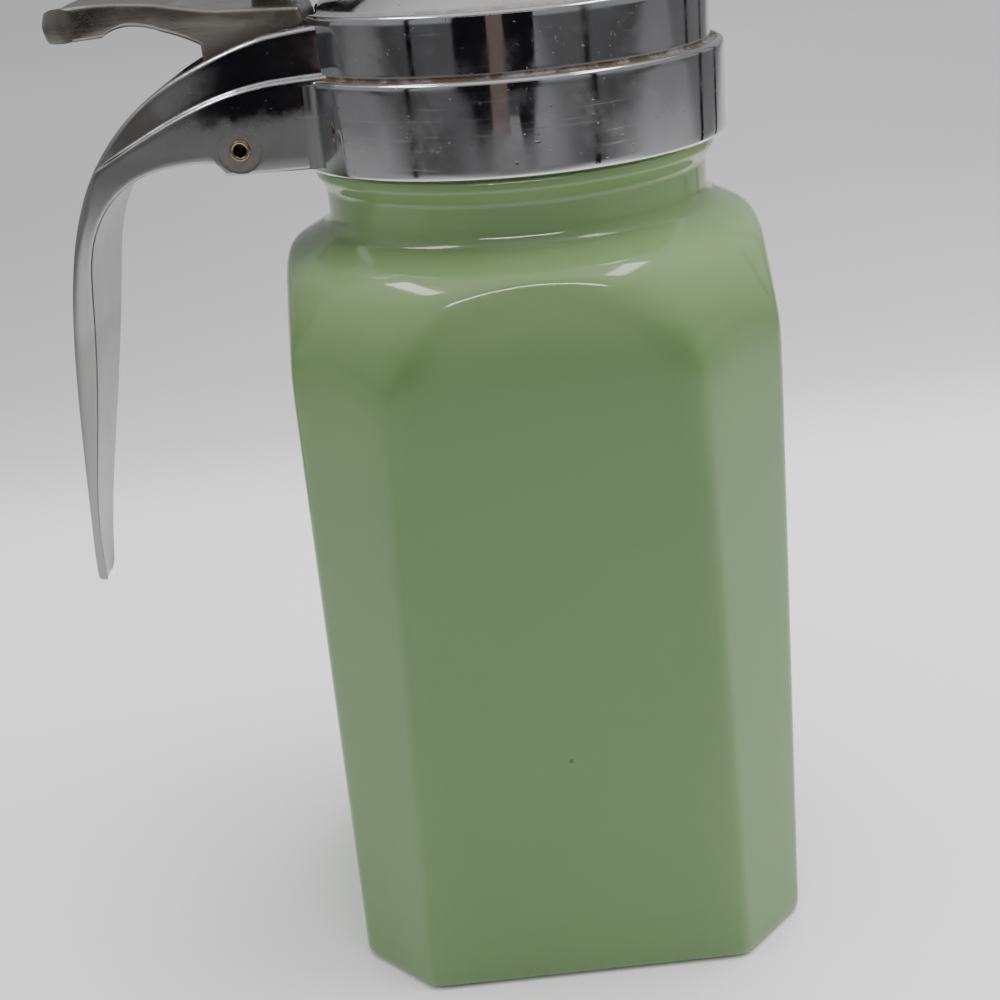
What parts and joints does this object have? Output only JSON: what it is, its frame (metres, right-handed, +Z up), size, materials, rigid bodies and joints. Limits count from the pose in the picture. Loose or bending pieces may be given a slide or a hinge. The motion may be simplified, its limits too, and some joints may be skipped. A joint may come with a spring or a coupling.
{
  "type": "syrup dispenser",
  "caption": "Square glass table dispenser for syrup with a screw-on cast top, curved grip and a thumb lever that draws a blade off the pouring spout.",
  "frame": {"origin": "centre of the jar's base on the resting plane", "axes": "+Z up through the jar, +X towards the pouring spout, the handle along -X"},
  "size_m": [0.106, 0.07, 0.1532],
  "materials": {
    "jade_glass": "opaque pressed glass, glossy",
    "seal_rubber": "smooth",
    "plated_casting": "plated, lightly stained",
    "worn_casting": "dull plated casting",
    "rivet_brass": "tarnished",
    "spring_steel": "drawn wire",
    "pin_steel": "ground",
    "blade_steel": "rolled sheet",
    "strap_steel": "rolled sheet"
  },
  "bodies": {
    "jar": {"glass_jar": "jade_glass"},
    "seal": {"jar_seal": "seal_rubber"},
    "top": {"top_casting": "plated_casting", "lever_rivet": "rivet_brass", "return_spring": "spring_steel", "slide_guide": "strap_steel"},
    "lever": {"thumb_lever": "worn_casting", "drive_pin": "pin_steel"},
    "blade": {"cutoff_slide": "blade_steel"}
  },
  "joints": [
    {"name": "cap_lift", "type": "slide", "parent": "jar", "child": "seal", "axis": [0, 0, 1], "range_m": [0, 0.02032]},
    {"name": "cap_turn", "type": "hinge", "parent": "seal", "child": "top", "pos_m": [0, 0, 0.138], "axis": [0, 0, 1], "range_deg": [0, 1440]},
    {"name": "lever_hinge", "type": "hinge", "parent": "top", "child": "lever", "pos_m": [-0.0371, 0, 0.126], "axis": [0, -1, 0], "range_deg": [0, 30], "stiffness_Nm_per_rad": 0.12, "springref_deg": -14.32, "deforming": ["return_spring"]},
    {"name": "blade_slide", "type": "slide", "parent": "top", "child": "blade", "axis": [-1, 0, 0], "range_m": [0, 0.0118]}
  ],
  "couplings": [
    {"joint": "cap_lift", "follows": "cap_turn", "m_per_rad": 0.00080851},
    {"joint": "blade_slide", "follows": "lever_hinge", "m_per_rad": 0.022343}
  ]
}
